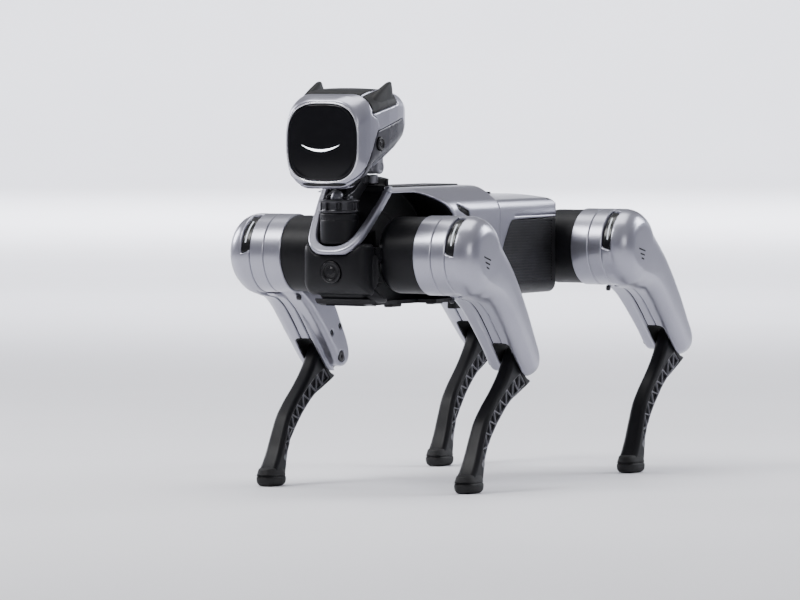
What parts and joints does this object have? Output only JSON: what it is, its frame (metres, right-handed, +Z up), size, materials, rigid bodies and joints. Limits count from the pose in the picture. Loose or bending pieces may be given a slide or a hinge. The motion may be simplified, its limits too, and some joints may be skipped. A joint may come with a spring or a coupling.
{
  "type": "quadruped robot",
  "caption": "Four-legged walking robot with motorised hips and knees, a screen-faced head on a turning neck, a ribbed battery body and rubber feet.",
  "frame": {"origin": "on the ground, under the middle of the overall box", "axes": "+X forward, towards the face; +Y the robot's left; +Z up"},
  "size_m": [0.7974, 0.4, 0.577],
  "materials": {
    "silver_paint": "painted satin silver",
    "black_satin": "satin black",
    "black_ribbed": "matte black",
    "black_gloss": "gloss black",
    "black_glass": "gloss black cover glass",
    "black_rubber": "matte rubber",
    "grey_plastic": "satin grey",
    "board_green": "circuit board",
    "frame_aluminium": "machined",
    "dark_grey_metal": "satin dark grey",
    "dark_steel": "blackened"
  },
  "bodies": {
    "trunk": {"top_cover": "silver_paint", "top_inlay": "black_satin", "rear_top_cover": "silver_paint", "mid_housing": "black_ribbed", "battery_pack": "grey_plastic", "main_computer": "board_green", "chassis_frame": "frame_aluminium", "roll_actuators": "frame_aluminium", "hip_well_liner": "black_satin", "chest_panel": "black_satin", "chest_sensor": "black_gloss", "collar_trim": "silver_paint", "belly_pan": "black_satin", "belly_pads": "black_rubber", "tail_housing": "black_satin", "neck_base": "black_satin"},
    "power_button": {"power_button": "black_gloss"},
    "neck": {"neck_turret": "dark_grey_metal", "neck_pitch_axle": "dark_steel"},
    "head": {"head_bezel": "silver_paint", "head_screen": "black_glass", "chin_sensor_bar": "black_glass", "head_rear_shell": "silver_paint", "head_top_cover": "black_gloss", "head_side_panels": "grey_plastic", "head_side_cameras": "black_gloss", "ears": "black_satin", "head_yoke": "dark_grey_metal"},
    "front_left_hip": {"front_left_hip_drum": "black_satin", "front_left_hip_ring": "silver_paint"},
    "front_left_thigh": {"front_left_thigh_hub": "silver_paint", "front_left_thigh_outer_shell": "silver_paint", "front_left_thigh_inner_shell": "silver_paint", "front_left_knee_axle": "dark_steel"},
    "front_left_calf": {"front_left_calf": "black_satin", "front_left_foot": "black_rubber"},
    "front_right_hip": {"front_right_hip_drum": "black_satin", "front_right_hip_ring": "silver_paint"},
    "front_right_thigh": {"front_right_thigh_hub": "silver_paint", "front_right_thigh_outer_shell": "silver_paint", "front_right_thigh_inner_shell": "silver_paint", "front_right_knee_axle": "dark_steel"},
    "front_right_calf": {"front_right_calf": "black_satin", "front_right_foot": "black_rubber"},
    "rear_left_hip": {"rear_left_hip_drum": "black_satin", "rear_left_hip_ring": "silver_paint"},
    "rear_left_thigh": {"rear_left_thigh_hub": "silver_paint", "rear_left_thigh_outer_shell": "silver_paint", "rear_left_thigh_inner_shell": "silver_paint", "rear_left_knee_axle": "dark_steel"},
    "rear_left_calf": {"rear_left_calf": "black_satin", "rear_left_foot": "black_rubber"},
    "rear_right_hip": {"rear_right_hip_drum": "black_satin", "rear_right_hip_ring": "silver_paint"},
    "rear_right_thigh": {"rear_right_thigh_hub": "silver_paint", "rear_right_thigh_outer_shell": "silver_paint", "rear_right_thigh_inner_shell": "silver_paint", "rear_right_knee_axle": "dark_steel"},
    "rear_right_calf": {"rear_right_calf": "black_satin", "rear_right_foot": "black_rubber"}
  },
  "joints": [
    {"name": "front_left_roll", "type": "hinge", "parent": "trunk", "child": "front_left_hip", "pos_m": [0.2755, 0.046, 0.333], "axis": [1, 0, 0], "range_deg": [-25, 30]},
    {"name": "front_left_pitch", "type": "hinge", "parent": "front_left_hip", "child": "front_left_thigh", "pos_m": [0.2755, 0, 0.333], "axis": [0, 1, 0], "range_deg": [-90, 40]},
    {"name": "front_left_knee", "type": "hinge", "parent": "front_left_thigh", "child": "front_left_calf", "pos_m": [0.127, 0, 0.1803], "axis": [0, 1, 0], "range_deg": [-45, 45]},
    {"name": "front_right_roll", "type": "hinge", "parent": "trunk", "child": "front_right_hip", "pos_m": [0.2755, -0.046, 0.333], "axis": [1, 0, 0], "range_deg": [-30, 25]},
    {"name": "front_right_pitch", "type": "hinge", "parent": "front_right_hip", "child": "front_right_thigh", "pos_m": [0.2755, 0, 0.333], "axis": [0, 1, 0], "range_deg": [-90, 40]},
    {"name": "front_right_knee", "type": "hinge", "parent": "front_right_thigh", "child": "front_right_calf", "pos_m": [0.127, 0, 0.1803], "axis": [0, 1, 0], "range_deg": [-45, 45]},
    {"name": "rear_left_roll", "type": "hinge", "parent": "trunk", "child": "rear_left_hip", "pos_m": [-0.2045, 0.046, 0.333], "axis": [1, 0, 0], "range_deg": [-25, 30]},
    {"name": "rear_left_pitch", "type": "hinge", "parent": "rear_left_hip", "child": "rear_left_thigh", "pos_m": [-0.2045, 0, 0.333], "axis": [0, 1, 0], "range_deg": [-60, 40]},
    {"name": "rear_left_knee", "type": "hinge", "parent": "rear_left_thigh", "child": "rear_left_calf", "pos_m": [-0.36279, 0, 0.19048], "axis": [0, 1, 0], "range_deg": [-45, 45]},
    {"name": "rear_right_roll", "type": "hinge", "parent": "trunk", "child": "rear_right_hip", "pos_m": [-0.2045, -0.046, 0.333], "axis": [1, 0, 0], "range_deg": [-30, 25]},
    {"name": "rear_right_pitch", "type": "hinge", "parent": "rear_right_hip", "child": "rear_right_thigh", "pos_m": [-0.2045, 0, 0.333], "axis": [0, 1, 0], "range_deg": [-60, 40]},
    {"name": "rear_right_knee", "type": "hinge", "parent": "rear_right_thigh", "child": "rear_right_calf", "pos_m": [-0.36279, 0, 0.19048], "axis": [0, 1, 0], "range_deg": [-45, 45]},
    {"name": "head_yaw", "type": "hinge", "parent": "trunk", "child": "neck", "pos_m": [0.3485, 0, 0.4], "axis": [0, 0, 1], "range_deg": [-35, 35]},
    {"name": "head_pitch", "type": "hinge", "parent": "neck", "child": "head", "pos_m": [0.2975, 0, 0.457], "axis": [0, 1, 0], "range_deg": [-15, 8]},
    {"name": "power_button_press", "type": "slide", "parent": "trunk", "child": "power_button", "axis": [0, 0, -1], "range_m": [0, 0.0015], "stiffness_N_per_m": 800, "springref_m": -0.0005}
  ]
}
